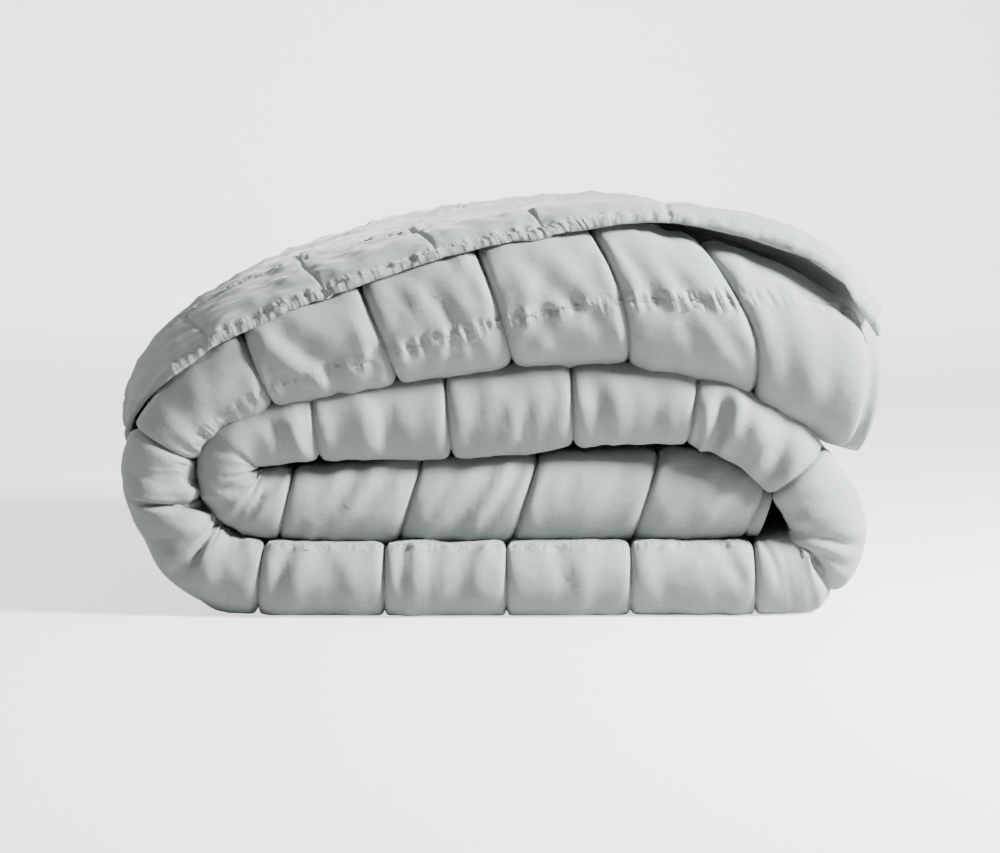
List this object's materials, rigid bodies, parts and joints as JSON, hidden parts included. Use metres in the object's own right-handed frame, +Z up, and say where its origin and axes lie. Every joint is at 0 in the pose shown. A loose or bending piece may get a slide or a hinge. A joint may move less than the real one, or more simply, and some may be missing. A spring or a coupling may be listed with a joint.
{
  "type": "folded linen quilt",
  "caption": "Linen quilt sewn in squares, folded lengthwise into a soft bundle and rolled up, with a loose hemmed flap over the top.",
  "frame": {"origin": "centre of the bounding box's bottom face, on the surface that the quilt rests on", "axes": "+Z up, +X to the right along the rolled runs as seen from the front folds, +Y from the front folds to the back ones"},
  "size_m": [0.614, 0.4746, 0.3304],
  "materials": {
    "linen": "washed linen, matt, softly crinkled"
  },
  "bodies": {
    "root": {"quilt": "linen"}
  },
  "joints": []
}
